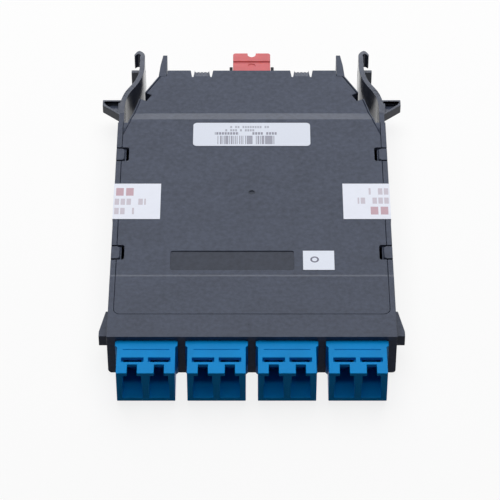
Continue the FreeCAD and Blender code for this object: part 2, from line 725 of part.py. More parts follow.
def lc_adapter(x):
    """Duplex LC adapter: alike at both ends, flanged in front of the frame."""
    body = block(about(x, ADAPTER_WIDTH), (ADAPTER_FRONT, ADAPTER_REAR), (ADAPTER_LOW, ADAPTER_TOP))
    flange = block(about(x, FLANGE_WIDTH), (FRONT - FLANGE_DEPTH, FRONT), (ADAPTER_LOW, ADAPTER_TOP))
    front_edges = [e for e in edges_along(flange, Vector(0, 0, 1)) if e.CenterOfMass.y < FRONT - REST]
    flange = flange.makeChamfer(FLANGE_CHAMFER, front_edges)
    body = body.fuse([flange, barbs(x, 0)])

    groove_y = FRONT - FLANGE_DEPTH - GROOVE_BEFORE_FLANGE
    removed = [block(about(x, ADAPTER_WIDTH - 2 * GROOVE_INSET), (groove_y - GROOVE_LENGTH, groove_y),
                     (ADAPTER_TOP - GROOVE_DEPTH, BOX_HEIGHT))]
    tubes = []
    bores = []
    for side in (-1, 1):
        port_x = x + side * PORT_PITCH / 2
        space = port_space(port_x)
        removed += [space, space.mirror(Vector(0, ADAPTER_MID, 0), Vector(0, 1, 0))]
        tube, bore = sleeve_holder(port_x)
        tubes.append(tube)
        bores.append(bore)
    return body.cut(removed).fuse(tubes).cut(bores).removeSplitter()


def alignment_sleeve(x):
    """Split ceramic sleeve in which two ferrules meet."""
    y = about(ADAPTER_MID, SLEEVE_LENGTH)
    tube = rod(x, PORT_AXIS, SLEEVE_RADIUS, y).cut(rod(x, PORT_AXIS, SLEEVE_BORE, y))
    slit = block(about(x, SLEEVE_SLIT), y, (PORT_AXIS, PORT_AXIS + 2 * SLEEVE_RADIUS))
    return tube.cut(slit)


def lc_ferrule(x):
    """Ceramic ferrule of one inner plug; its end stands at the adapter's middle."""
    y = (ADAPTER_MID + REST, ADAPTER_MID + REST + FERRULE_LENGTH)
    return flat_sided_rod(x, PORT_AXIS, FERRULE_RADIUS, y, FERRULE_SIDES)


def lc_plug(x):
    """Inner LC plug in an adapter's rear port, with its latch lever."""
    nose = ADAPTER_MID + WEB_THICKNESS / 2 + 3 * FIT
    body = block(about(x, PLUG_SIZE), (nose, PLUG_REAR), about(PORT_AXIS, PLUG_SIZE))
    cavity_end = ADAPTER_MID + WEB_THICKNESS / 2 + HOLDER_LENGTH + FIT
    cavity = block(about(x, PLUG_NOSE), (nose - FIT, cavity_end), about(PORT_AXIS, PLUG_NOSE))
    ferrule_end = ADAPTER_MID + REST + FERRULE_LENGTH
    socket_radius = (FERRULE_RADIUS + FERRULE_FIT) / math.cos(math.pi / SOCKET_SIDES)
    socket = flat_sided_rod(x, PORT_AXIS, socket_radius, (nose, ferrule_end), SOCKET_SIDES)
    top = PORT_AXIS + PLUG_SIZE / 2
    roof = ADAPTER_TOP - PORT_ROOF
    rise = roof - LEVER_THICKNESS - FIT
    lever = side_prism([
        (cavity_end, top - FIT),
        (cavity_end + 2 * LEVER_THICKNESS, top - FIT),
        (ADAPTER_REAR, rise),
        (ADAPTER_REAR + PLUG_BEHIND / 2, rise),
        (ADAPTER_REAR + PLUG_BEHIND / 2, rise + LEVER_THICKNESS),
        (ADAPTER_REAR, rise + LEVER_THICKNESS),
    ], about(x, LEVER_WIDTH))
    return body.cut([cavity, socket]).fuse(lever).removeSplitter()


def lc_boot(x):
    """Short tapered boot behind an inner plug, open for its fibre."""
    root = Vector(x, PLUG_REAR, PORT_AXIS)
    tip = Vector(x, BOOT_REAR, PORT_AXIS)
    taper = tapered(round_section(root, BOOT_RADIUS, BOOT_SIDES),
                    round_section(tip, BOOT_TIP_RADIUS, BOOT_SIDES))
    hole = round_section(root, FIBRE_RADIUS + REST, FIBRE_SIDES)
    return taper.cut(Part.Face(hole).extrude(tip - root))


def fibre(x, gathered_x, inner_rank):
    """Buffered fibre: straight out of its boot, an S bend, straight into the block."""
    leave = BOOT_REAR + FIBRE_LEAD
    arrive = FANOUT_FRONT - FIBRE_LEAD - inner_rank * FIBRE_STAGGER
    length = arrive - leave
    shift = abs(gathered_x - x)
    room = (shift ** 2 + length ** 2) / (4 * shift)
    bend = min(FIBRE_BEND, room)
    half_turn_tangent = shift / (length + math.sqrt(max(length ** 2 + shift ** 2 - 4 * bend * shift, 0)))
    reach = bend * half_turn_tangent
    turn = math.degrees(2 * math.atan(half_turn_tangent))
    print(f"fibre bend radius {bend:.2f} mm, turn {turn:.1f} degrees")
    start = Vector(x, PLUG_REAR + REST, PORT_AXIS)
    path = Part.Wire(rounded_path([
        start,
        Vector(x, leave + reach, PORT_AXIS),
        Vector(gathered_x, arrive - reach, PORT_AXIS),
        Vector(gathered_x, FANOUT_FRONT, PORT_AXIS),
    ], bend))
    return path.makePipeShell([round_section(start, FIBRE_RADIUS, FIBRE_SIDES)], True, False)


def gathered_places():
    """Where the fibres lie side by side in the fan-out block."""
    count = 2 * ADAPTER_COUNT
    return [(i - (count - 1) / 2) * FIBRE_GATHER for i in range(count)]


def fanout_block():
    """Flat block in which the ribbon splits into single fibres."""
    width = (2 * ADAPTER_COUNT - 1) * FIBRE_GATHER + 2 * (FIBRE_RADIUS + FANOUT_MARGIN)
    return block(about(0, width), (FANOUT_FRONT, FANOUT_REAR), about(PORT_AXIS, FANOUT_HEIGHT))


def mpo_adapter():
    """MPO adapter through the rear wall; its nose is open above."""
    body = block(about(0, MPO_WIDTH), (MPO_FRONT, MPO_NOSE), (MPO_LOW, MPO_LOW + MPO_HEIGHT))
    collar = block(about(0, MPO_WIDTH + 2 * MPO_COLLAR_REACH), (COLLAR_REAR - MPO_COLLAR_LENGTH, COLLAR_REAR),
                   (MPO_LOW, MPO_LOW + MPO_HEIGHT))
    port_y = (MPO_FRONT - FIT, MPO_NOSE + FIT)
    port = block(about(0, MPO_PORT_WIDTH), port_y, about(MPO_AXIS, MPO_PORT_HEIGHT))
    open_top = block(about(0, MPO_PORT_WIDTH), (REAR, MPO_NOSE + FIT), (MPO_AXIS, BOX_HEIGHT))
    return body.fuse(collar).cut([port, open_top]).removeSplitter()


def mpo_plug():
    """Inner MPO plug, seated in the adapter's front port."""
    nose = MPO_FRONT + MPO_PLUG_REACH
    z = about(MPO_AXIS, MPO_PORT_HEIGHT - 2 * FIT)
    body = block(about(0, MPO_PORT_WIDTH - 2 * FIT), (COUPLER_FRONT, nose), z)
    body = rounded(body, Vector(0, 1, 0), EDGE)
    seat_y = (nose - MT_SEAT, nose + FIT)
    seat = block(about(0, MT_WIDTH + FIT), seat_y, about(MPO_AXIS, MT_HEIGHT + FIT))
    return body.cut(seat)


def mpo_coupler():
    """Sliding outer sleeve of the inner MPO plug."""
    y = (COUPLER_FRONT, COUPLER_FRONT + SLEEVE_OUTER_LENGTH)
    body = block(about(0, SLEEVE_OUTER_WIDTH), y, (MPO_LOW, MPO_LOW + MPO_HEIGHT))
    body = rounded(body, Vector(0, 1, 0), EDGE)
    return body.cut(block(about(0, MPO_PORT_WIDTH), y, about(MPO_AXIS, MPO_PORT_HEIGHT)))


def mt_ferrule():
    """Rectangular multi-fibre ferrule at the plug's face."""
    nose = MPO_FRONT + MPO_PLUG_REACH
    body = block(about(0, MT_WIDTH), (nose - MT_SEAT, nose + MT_PROUD), about(MPO_AXIS, MT_HEIGHT))
    return body.cut([rod(x, MPO_AXIS, PIN_RADIUS + PIN_FIT, (nose - PIN_ROOT, nose + 2 * MT_PROUD))
                     for x in about(0, PIN_PITCH)])


def mt_guide_pins():
    """The two steel pins that line up the mating ferrule."""
    nose = MPO_FRONT + MPO_PLUG_REACH
    return Part.makeCompound([rod(x, MPO_AXIS, PIN_RADIUS, (nose - PIN_ROOT, nose + MT_PROUD + PIN_PROUD))
                              for x in about(0, PIN_PITCH)])


def mpo_boot():
    """Flat tapered boot between the inner MPO plug and the fan-out block."""
    def outline(y, width, height):
        x, z = about(0, width), about(MPO_AXIS, height)
        corners = [Vector(x[0], y, z[0]), Vector(x[1], y, z[0]), Vector(x[1], y, z[1]), Vector(x[0], y, z[1])]
        return Part.makePolygon(corners + corners[:1])
    return tapered(outline(COUPLER_FRONT, MPO_BOOT_WIDTH, MPO_BOOT_HEIGHT),
                   outline(FANOUT_REAR, MPO_BOOT_WIDTH * 0.8, MPO_BOOT_HEIGHT * 0.6))


def mpo_dust_cap():
    """Push-in cap of the MPO port: a grip outside and a hollow nose inside."""
    top = MPO_AXIS + CAP_RISE
    low = MPO_AXIS - MPO_PORT_HEIGHT / 2 + FIT
    grip = block(about(0, CAP_WIDTH), (CAP_FRONT, CAP_REAR), (low, top))
    nose_y = (REAR - CAP_NOSE_LENGTH, CAP_FRONT + CAP_WALL)
    nose = block(about(0, MPO_PORT_WIDTH - 4 * FIT), nose_y, about(MPO_AXIS, MPO_PORT_HEIGHT - 4 * FIT))
    upright = [e for e in edges_along(grip, Vector(0, 0, 1)) if e.CenterOfMass.y > CAP_REAR - FIT]
    grip = grip.makeFillet(CAP_CORNER, upright)
    hollow_y = (REAR - CAP_NOSE_LENGTH - FIT, CAP_REAR - 2 * CAP_WALL - CAP_NOTCH_LENGTH)
    hollow = block(about(0, CAP_WIDTH - 2 * CAP_WALL), hollow_y,
                   about(MPO_AXIS, MPO_PORT_HEIGHT - 4 * FIT - 2 * CAP_WALL))
    groove_y = CAP_REAR - CAP_GROOVE_FROM_END
    groove = block(about(0, CAP_WIDTH + FIT), (groove_y - CAP_GROOVE_WIDTH, groove_y),
                   (top - CAP_GROOVE_DEPTH, top + FIT))
    notch_y = CAP_REAR - CAP_NOTCH_LENGTH + CAP_NOTCH_RADIUS
    notch = Part.makeCylinder(CAP_NOTCH_RADIUS, BOX_HEIGHT, Vector(0, notch_y, 0))
    notch_mouth = block(about(0, 2 * CAP_NOTCH_RADIUS), (notch_y, CAP_REAR + FIT), (0, BOX_HEIGHT))
    dimple_y = groove_y - CAP_GROOVE_WIDTH - CAP_DIMPLE_RADIUS
    dimple = Part.makeCylinder(CAP_DIMPLE_RADIUS, BOX_HEIGHT, Vector(0, dimple_y, top - CAP_DIMPLE_DEPTH))
    return grip.fuse(nose).cut([hollow, groove, notch, notch_mouth, dimple]).removeSplitter()


def main_label():
    """Rounded paper label near the back of the cover."""
    y = about(REAR - LABEL_FROM_REAR, LABEL_LENGTH)
    return rounded(block(about(0, LABEL_WIDTH), y, (MID_TOP, MID_TOP + FILM)), Vector(0, 0, 1), LABEL_CORNER)


def small_label():
    """Small square label beside the plate recess."""
    y = FRONT + PLATE_FROM_FRONT
    return block((TAG_LEFT, TAG_LEFT + TAG_WIDTH), (y, y + TAG_LENGTH), (MID_TOP, MID_TOP + FILM))


def seal_tape():
    """Seal over the right edge of the cover, folded down the side wall."""
    y = (FRONT + SEAL_FROM_FRONT, FRONT + SEAL_FROM_FRONT + SEAL_WIDTH)
    top = block((HALF - SEAL_ON_TOP, HALF + FILM), y, (MID_TOP, MID_TOP + FILM))
    side = block((HALF, HALF + FILM), y, (MID_TOP - SEAL_ON_SIDE, MID_TOP + FILM))
    return top.fuse(side).removeSplitter()


def all_parts():
    """Every sub-part by its node's name."""
    parts = {"base": base(), "cover": cover()}
    arm = latch_arm()
    parts["latch_arm_right"] = arm
    parts["latch_arm_left"] = mirrored(arm)
    for i, x in enumerate(adapter_middles(), 1):
        parts[f"lc_adapter_{i}"] = lc_adapter(x)
    for i, (x, gathered_x) in enumerate(zip(port_middles(), gathered_places()), 1):
        parts[f"alignment_sleeve_{i}"] = alignment_sleeve(x)
        parts[f"lc_ferrule_{i}"] = lc_ferrule(x)
        parts[f"lc_plug_{i}"] = lc_plug(x)
        parts[f"lc_boot_{i}"] = lc_boot(x)
        parts[f"fibre_{i}"] = fibre(x, gathered_x, min(i, 2 * ADAPTER_COUNT + 1 - i) - 1)
    parts["fanout_block"] = fanout_block()
    parts["mpo_adapter"] = mpo_adapter()
    parts["mpo_plug"] = mpo_plug()
    parts["mpo_coupler"] = mpo_coupler()
    parts["mt_ferrule"] = mt_ferrule()
    parts["mt_guide_pins"] = mt_guide_pins()
    parts["mpo_boot"] = mpo_boot()
    parts["mpo_dust_cap"] = mpo_dust_cap()
    parts["main_label"] = main_label()
    parts["small_label"] = small_label()
    tape = seal_tape()
    parts["seal_tape_right"] = tape
    parts["seal_tape_left"] = mirrored(tape)
    return parts


os.makedirs("parts", exist_ok=True)
for name, shape in all_parts().items():
    shape.exportStep(f"parts/{name}.step")
    print(name, len(shape.Solids), round(shape.Volume, 1), shape.isValid())
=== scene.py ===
"""Fibre cassette: finishes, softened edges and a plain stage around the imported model."""

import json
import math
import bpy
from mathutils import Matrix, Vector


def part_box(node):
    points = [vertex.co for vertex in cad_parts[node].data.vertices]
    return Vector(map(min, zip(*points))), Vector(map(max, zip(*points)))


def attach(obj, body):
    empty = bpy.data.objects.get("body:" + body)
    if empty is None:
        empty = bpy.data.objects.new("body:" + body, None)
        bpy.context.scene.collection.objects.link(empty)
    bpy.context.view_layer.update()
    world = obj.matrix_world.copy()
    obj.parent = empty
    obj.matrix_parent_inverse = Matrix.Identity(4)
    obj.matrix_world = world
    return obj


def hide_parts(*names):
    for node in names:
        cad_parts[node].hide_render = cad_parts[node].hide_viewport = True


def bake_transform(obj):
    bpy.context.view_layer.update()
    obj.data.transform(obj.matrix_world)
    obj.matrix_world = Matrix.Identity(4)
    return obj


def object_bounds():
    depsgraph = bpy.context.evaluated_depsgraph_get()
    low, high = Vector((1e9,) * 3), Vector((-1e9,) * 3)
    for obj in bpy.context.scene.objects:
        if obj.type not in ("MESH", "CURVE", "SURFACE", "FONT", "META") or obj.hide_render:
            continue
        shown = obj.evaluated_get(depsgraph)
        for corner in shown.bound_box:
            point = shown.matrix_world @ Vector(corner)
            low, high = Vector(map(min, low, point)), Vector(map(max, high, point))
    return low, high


bl_info = {
    "name": "Fibre Cassette",
    "version": (1, 0, 0),
    "blender": (4, 5, 0),
    "location": "View3D > Sidebar > Cassette",
    "description": "Dresses a packed fibre cassette and sets its studio",
    "category": "Object",
}

from typing import NamedTuple

import bmesh
import bpy
from bpy.props import FloatProperty, FloatVectorProperty, PointerProperty
from mathutils import Vector

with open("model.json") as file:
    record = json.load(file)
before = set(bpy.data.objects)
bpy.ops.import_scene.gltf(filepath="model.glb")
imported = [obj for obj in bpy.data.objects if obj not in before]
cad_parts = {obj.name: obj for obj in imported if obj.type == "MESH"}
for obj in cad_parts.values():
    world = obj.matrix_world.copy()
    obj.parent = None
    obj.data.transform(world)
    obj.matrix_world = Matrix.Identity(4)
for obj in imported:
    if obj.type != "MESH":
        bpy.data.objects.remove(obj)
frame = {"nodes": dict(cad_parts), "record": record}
CAD_BOX = [list(corner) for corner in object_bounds()]
MM = 0.001
SHOWN_RAYS = ("Camera", "Glossy", "Transmission")


def node_box(node):
    """Lowest and highest corner of a node, as vectors."""
    low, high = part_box(node)
    return Vector(low), Vector(high)


def joint_place(name):
    """Where a hinge of the record turns."""
    for joint in frame["record"]["behaviour"]["joints"]:
        if joint["name"] == name:
            return Vector(joint["pos_m"])
    raise RuntimeError(f"the record has no joint {name}")


# Places on the object

BASE_LOW = node_box("base")[0]
COVER_HIGH = node_box("cover")[1]
COVER_THICKNESS = 1.1 * MM
ARM_ROOTS = [joint_place(f"latch_{side}_squeeze") for side in ("right", "left")]
PLATE_LEFT = -19.55 * MM
PLATE_WIDTH = 29.7 * MM
PLATE_FROM_FRONT = 22.6 * MM
PLATE_LENGTH = 6.7 * MM
PLATE_FLOOR_DROP = 0.35 * MM
GATE_FROM_FRONT = 50.2 * MM
# Reach of the painted shade round the gate hole, over the hole and the flat top beside it
GATE_SHADE_REACH = 0.85 * MM

# Softened and rounded edges

TOUCH = 0.01 * MM
WELD = 0.002 * MM
FLAT_ANGLE = math.radians(0.8)
SHARP_ANGLE = math.radians(12)
CREASE_ANGLE = math.radians(50)
ROLL_SEGMENTS = 2
ROUND_SEGMENTS = 8
MOSTLY_ALONG = 0.8
ROOM_SHARE = 0.32
ROOT_REACH = 1.3 * MM
CAP_SOFTNESS = 1.6
FOOT_ROUND = 0.8 * MM
WELL_INNER = 30.7 * MM
WELL_REAR = 24 * MM
WELL_ROUND = 0.62 * MM
TONGUE_TIP = 31.75 * MM
TONGUE_TIP_HALF = 0.2 * MM
TONGUE_LOW = 11.1 * MM
TONGUE_ROUND = 0.75 * MM

# Groove between the cover and the rim along the tapered sides: points of the right one, on the roof

SEAM = [
    Vector(point) * MM
    for point in (
        (32.6, 22.4, 11.75),
        (30.95, 27.4, 11.75),
        (30.63, 28.6, 11.75),
        (29.8, 31.9, 10.85),
        (28.42, 37.3, 10.85),
        (23.38, 46.75, 10.85),
    )
]
SEAM_HALF = 0.1 * MM
SEAM_DEPTH = 0.8 * MM
SEAM_ABOVE = 0.5 * MM

# Latch arms: where they bend, and how the upper grip hooks over

RING_STEP = 0.8 * MM
RINGS = 14
GRIP_START = 53.65 * MM
GRIP_SPLIT = 6.5 * MM
GRIP_TOP = 0.1 * MM
GRIP_HOOK_FROM = 29.0 * MM
GRIP_HOOK = 0.47 / MM
GRIP_DROP = 0.2 / MM

# Moulded plastics

DARK_GRAIN, PALE_GRAIN = 0.5, 1.5
GRAIN_CONTRAST = 1.15
CLOUD = 9 * MM
SPECKLE = 1.2 * MM
# Tone of the darker plate floor, and of the painted shade round the gate hole
DARKER_PLATE_AND_GATE_SHADE_TONE = 0.6
FINE_MARKS = 0.6 * MM
MARK_DEPTH = 0.006 * MM
BOOT_WHITE = (0.74, 0.74, 0.72)
CONNECTOR_BLACK = (0.022, 0.023, 0.027)

# Stage: the camera's place is from the middle of the base's lower front edge

FLOOR_RADIUS = 2.5
FLOOR_SIDES = 96
FLOOR_DROP = 0.02 * MM
FLOOR_BOUNCE = (0.10, 0.10, 0.10)
FLOOR_WHITE = (0.92, 0.92, 0.92)
FLOOR_GLOW = 0.83
WHITE = (1, 1, 1)
WORLD_LIGHT = 0.09
OVERHEAD_PLACE = Vector((0, 0.24, 0.68))
OVERHEAD_SIZE = 0.75
REAR_PLACE = Vector((0, 0.75, 0.25))
REAR_SIZE = 0.6
CAMERA_FROM_FRONT = Vector((-0.43, -439.3, 459.8)) * MM


class Row(NamedTuple):
    """A row of plain dashes, in millimetres; the seed says which are left out, and strength is its ink."""

    start: float
    end: float
    low: float
    high: float
    pitch: float
    seed: float
    strength: float


LABEL_ROWS = (
    Row(-7.8, 4.8, 1.2, 2.05, 0.62, 4.0, 0.55),
    Row(-6.8, 1.0, 2.45, 3.3, 0.62, 8.0, 0.6),
    Row(-9.3, 6.3, 3.6, 4.55, 0.70, 13.0, 0.85),
)
SEAL_ACCENT = (Row(0.3, 5.2, 8.4, 11.2, 2.45, 21.0, 0.68),)
SEAL_FAINT = (
    Row(0.3, 8.0, 5.1, 7.3, 1.45, 25.0, 0.45),
    Row(0.3, 5.2, 1.7, 4.0, 1.45, 33.0, 0.45),
)
DASHES_PER_GROUP = 4.7
DASH_GAP = 0.24
DASHES_OUT = 0.22
GROUPS_OUT = 0.12
BARS_ALONG = (-8.6 * MM, 5.7 * MM)
BARS_ACROSS = (4.95 * MM, 8.15 * MM)
NARROW_BAR = 0.21 * MM
WIDE_BAR = 0.83 * MM
BAR_THRESHOLD = 0.62
BAR_INK = 0.75
RING_PLACE = (0.37, 0.54)
RING_INNER = 0.62 * MM
RING_OUTER = 1.05 * MM
PAPER_FIBRE = 0.35 * MM
PAPER_RELIEF = 0.008 * MM
FILM_WAVE = 2.2 * MM
FILM_RELIEF = 0.03 * MM


# Sizes and colours that a user may change


class HousingSettings(bpy.types.PropertyGroup):
    """Moulded box, cover and latch arms."""

    colour: FloatVectorProperty(
        name="Colour",
        description="Moulded colour of the housing",
        subtype="COLOR",
        size=3,
        min=0,
        max=1,
        default=(0.061, 0.073, 0.108),
    )
    edge: FloatProperty(
        name="Edge",
        description="Width of the softened outer edges",
        subtype="DISTANCE",
        unit="LENGTH",
        min=0,
        default=0.12 * MM,
    )
    grain: FloatProperty(
        name="Grain",
        description="Size of the moulded grain",
        subtype="DISTANCE",
        unit="LENGTH",
        min=0.05 * MM,
        default=0.32 * MM,
    )


class ConnectorSettings(bpy.types.PropertyGroup):
    """Adapters, inner plugs, fibres and the dust cap."""

    adapter_colour: FloatVectorProperty(
        name="Adapter colour",
        description="Moulded colour of the LC adapters",
        subtype="COLOR",
        size=3,
        min=0,
        max=1,
        default=(0.0, 0.255, 0.65),
    )
    cap_colour: FloatVectorProperty(
        name="Cap colour",
        description="Moulded colour of the dust cap",
        subtype="COLOR",
        size=3,
        min=0,
        max=1,
        default=(0.64, 0.15, 0.16),
    )
    buffer_colour: FloatVectorProperty(
        name="Buffer colour",
        description="Colour of the fibres' tight buffer",
        subtype="COLOR",
        size=3,
        min=0,
        max=1,
        default=(0.80, 0.55, 0.05),
    )
    edge: FloatProperty(
        name="Edge",
        description="Width of the softened edges of the connectors",
        subtype="DISTANCE",
        unit="LENGTH",
        min=0,
        default=0.14 * MM,
    )


class PrintSettings(bpy.types.PropertyGroup):
    """Labels and seals."""

    paper: FloatVectorProperty(
        name="Paper",
        description="Colour of the label paper",
        subtype="COLOR",
        size=3,
        min=0,
        max=1,
        default=(0.73, 0.77, 0.87),
    )
    film: FloatVectorProperty(
        name="Seal film",
        description="Colour of the seal film",
        subtype="COLOR",
        size=3,
        min=0,
        max=1,
        default=(0.77, 0.80, 0.90),
    )
    ink: FloatVectorProperty(
        name="Ink",
        description="Colour of the plain print",
        subtype="COLOR",
        size=3,
        min=0,
        max=1,
        default=(0.16, 0.16, 0.22),
    )
    accent: FloatVectorProperty(
        name="Accent ink",
        description="Second ink of the seals",
        subtype="COLOR",
        size=3,
        min=0,
        max=1,
        default=(0.36, 0.08, 0.12),
    )


class StageSettings(bpy.types.PropertyGroup):
    """Floor, lamps and camera."""

    lens: FloatProperty(
        name="Lens",
        description="Focal length of the camera in millimetres",
        subtype="DISTANCE_CAMERA",
        unit="CAMERA",
        min=10,
        default=193.8,
    )
    elevation: FloatProperty(
        name="Elevation",
        description="How far the camera looks down",
        subtype="ANGLE",
        unit="ROTATION",
        default=math.radians(43.7),
    )
    key: FloatProperty(
        name="Key lamp",
        description="Power of the overhead lamp in watts",
        subtype="POWER",
        unit="POWER",
        min=0,
        default=5.2,
    )
    rear: FloatProperty(
        name="Rear lamp",
        description="Power of the low lamp behind the object in watts",
        subtype="POWER",
        unit="POWER",
        min=0,
        default=2.0,
    )


# Shader maths


class Value:
    """A shader socket that takes part in Python sums."""

    def __init__(self, finish, socket):
        self.finish = finish
        self.socket = socket

    def _maths(self, operation, *terms):
        return self.finish.add("ShaderNodeMath", {"operation": operation}, dict(enumerate(terms)))

    def __add__(self, other):
        return self._maths("ADD", self, other)

    __radd__ = __add__

    def __sub__(self, other):
        return self._maths("SUBTRACT", self, other)

    def __rsub__(self, other):
        return self._maths("SUBTRACT", other, self)

    def __mul__(self, other):
        return self._maths("MULTIPLY", self, other)

    __rmul__ = __mul__

    def __truediv__(self, other):
        return self._maths("DIVIDE", self, other)

    def __rtruediv__(self, other):
        return self._maths("DIVIDE", other, self)

    def __abs__(self):
        return self._maths("ABSOLUTE", self)

    def __gt__(self, other):
        return self._maths("GREATER_THAN", self, other)

    def __lt__(self, other):
        return self._maths("LESS_THAN", self, other)

    def floor(self):
        return self._maths("FLOOR", self)

    def fraction(self):
        return self._maths("FRACT", self)

    def at_least(self, other):
        return self._maths("MAXIMUM", self, other)


class Tree:
    """The node tree of a material or a world, emptied first."""

    def __init__(self, owner):
        owner.use_nodes = True
        self.nodes = owner.node_tree.nodes
        self.links = owner.node_tree.links
        self.nodes.clear()

    def _put(self, socket, value):
        if isinstance(value, Value):
            self.links.new(value.socket, socket)
        elif socket.type == "RGBA":
            socket.default_value = (*value[:3], 1)
        else:
            socket.default_value = value

    def node(self, kind, settings, inputs):
        """Adds a node: its settings first, then the values or links of its sockets."""
        node = self.nodes.new(kind)
        for key, value in settings.items():
            setattr(node, key, value)
        for key, value in inputs.items():
            self._put(node.inputs[key], value)
        return node

    def add(self, kind, settings, inputs, output=0):
        """Adds a node and gives one of its outputs."""
        return Value(self, self.node(kind, settings, inputs).outputs[output])

    def shown(self):
        """1 for rays that come from the camera, or by way of gloss or glass."""
        rays = [self.add("ShaderNodeLightPath", {}, {}, f"Is {kind} Ray") for kind in SHOWN_RAYS]
        return rays[0].at_least(rays[1]).at_least(rays[2])


class Finish(Tree):
    """One procedural material, built round a Principled shader."""

    def __init__(self, name, **constants):
        self.material = bpy.data.materials.new(name)
        super().__init__(self.material)
        inputs = {socket.replace("_", " "): value for socket, value in constants.items()}
        self.shader = self.node("ShaderNodeBsdfPrincipled", {}, inputs)
        self.out = self.node("ShaderNodeOutputMaterial", {}, {})
        self.show(self.lit())

    def lit(self):
        """What the Principled shader gives."""
        return Value(self, self.shader.outputs[0])

    def show(self, shader):
        """Makes a shader the one that the surface shows."""
        self._put(self.out.inputs["Surface"], shader)

    def feed(self, socket, value):
        """Sets or links one socket of the shader."""
        self._put(self.shader.inputs[socket], value)

    def place(self):
        """Position on the object in metres."""
        return self.add("ShaderNodeTexCoord", {}, {}, "Object")

    def axis(self, letter):
        """One coordinate of that position."""
        return self.add("ShaderNodeSeparateXYZ", {}, {0: self.place()}, letter)

    def noise(self, size, detail=3.0, roughness=0.5):
        """Soft noise from 0 to 1 whose blotches are about as wide as size."""
        inputs = {"Vector": self.place(), "Scale": 1 / size, "Detail": detail, "Roughness": roughness}
        return self.add("ShaderNodeTexNoise", {"noise_dimensions": "3D"}, inputs, 0)

    def cells(self, value, seed):
        """A random number for each whole step of a value."""
        vector = self.add("ShaderNodeCombineXYZ", {}, {0: value.floor(), 2: seed})
        return self.add("ShaderNodeTexWhiteNoise", {"noise_dimensions": "3D"}, {"Vector": vector}, "Value")

    def mixed(self, factor, first, second):
        """Blend of two colours, which a Mix node takes at sockets 6 and 7 and gives at socket 2."""
        settings = {"data_type": "RGBA", "blend_type": "MIX"}
        return self.add("ShaderNodeMix", settings, {"Factor": factor, 6: first, 7: second}, 2)

    def varied(self, factor, colour, dark, pale):
        """Blend from a darker to a paler copy of a colour."""
        return self.mixed(factor, shade(colour, dark), shade(colour, pale))

    def bump(self, height, distance):
        """Relief whose full height is a distance."""
        inputs = {"Height": height, "Distance": distance, "Strength": 1.0}
        self.feed("Normal", self.add("ShaderNodeBump", {}, inputs))


def shade(colour, factor):
    """A lighter or darker copy of a colour."""
    return tuple(min(1.0, part * factor) for part in colour)


# Finishes


def housing_plastic(name, roughness, specular, grain_depth, recess=None):
    """Dark moulded plastic with a fine spark-eroded grain; recess says where it is darker: on the plate
    floor, and round the gate hole as painted shade.
    """
    settings = bpy.context.scene.cassette_housing
    finish = Finish(name, IOR=1.5, Specular_IOR_Level=specular)
    cloud = finish.noise(CLOUD, 4)
    speckle = finish.noise(SPECKLE, 3, 0.6)
    tone = (cloud * 0.3 + speckle * 0.7 - 0.5) * GRAIN_CONTRAST + 0.5
    surface = finish.varied(tone, settings.colour, DARK_GRAIN, PALE_GRAIN)
    # Darker on the plate floor, and painted shade round the gate hole
    if recess:
        darker = finish.varied(tone, shade(settings.colour, DARKER_PLATE_AND_GATE_SHADE_TONE), DARK_GRAIN, PALE_GRAIN)
        surface = finish.mixed(recess(finish), surface, darker)
    finish.feed("Base Color", surface)
    finish.feed("Roughness", roughness + speckle * 0.12 + cloud * 0.06)
    grain = finish.noise(settings.grain, 2, 0.6)
    finish.bump(grain + finish.noise(settings.grain * 3, 2) * 0.6, grain_depth)
    return finish.material


def plate_floor_and_gate_shade(finish):
    """1 on the floor of the cover's shallow plate, and in and round its gate hole, where it is painted
    shade.
    """
    x, y, z = (finish.axis(letter) for letter in "XYZ")
    front = BASE_LOW.y + PLATE_FROM_FRONT
    on_floor = z < COVER_HIGH.z - PLATE_FLOOR_DROP
    plate = band(x, PLATE_LEFT, PLATE_LEFT + PLATE_WIDTH) * band(y, front, front + PLATE_LENGTH) * on_floor
    # Painted shade in and round the gate hole, reaching onto the flat top beside it
    y = y - (BASE_LOW.y + GATE_FROM_FRONT)
    gate = (x * x + y * y < GATE_SHADE_REACH**2) * (z > COVER_HIGH.z - COVER_THICKNESS)
    return plate.at_least(gate)


def smooth_plastic(name, colour, roughness, blotch=4 * MM):
    """Smooth moulding with faint flow marks and handling marks."""
    finish = Finish(name, IOR=1.5, Specular_IOR_Level=0.06)
    flow = finish.noise(blotch, 3)
    fine = finish.noise(FINE_MARKS, 2)
    finish.feed("Base Color", finish.varied(flow, colour, 0.88, 1.12))
    finish.feed("Roughness", roughness + flow * 0.10 + fine * 0.06)
    finish.bump(flow * 0.5 + fine * 0.5, MARK_DEPTH)
    return finish.material


def cap_plastic():
    """Soft red moulding that lets a little light in."""
    colour = bpy.context.scene.cassette_connectors.cap_colour
    depth = {"Subsurface_Weight": 0.25, "Subsurface_Scale": 1.2 * MM}
    finish = Finish("cap plastic", IOR=1.5, Specular_IOR_Level=0.2, **depth)
    flow = finish.noise(2.5 * MM, 3)
    finish.feed("Base Color", finish.varied(flow, colour, 0.9, 1.1))
    finish.feed("Roughness", 0.38 + flow * 0.12)
    finish.bump(finish.noise(0.5 * MM, 2), MARK_DEPTH)
    return finish.material


def zirconia():
    """Ground white ceramic."""
    finish = Finish("ground zirconia", Roughness=0.22, IOR=2.1)
    tone = finish.noise(0.7 * MM, 2)
    finish.feed("Base Color", finish.mixed(tone, (0.80, 0.78, 0.72), (0.90, 0.89, 0.85)))
    finish.bump(finish.noise(0.08 * MM, 1), 0.002 * MM)
    return finish.material


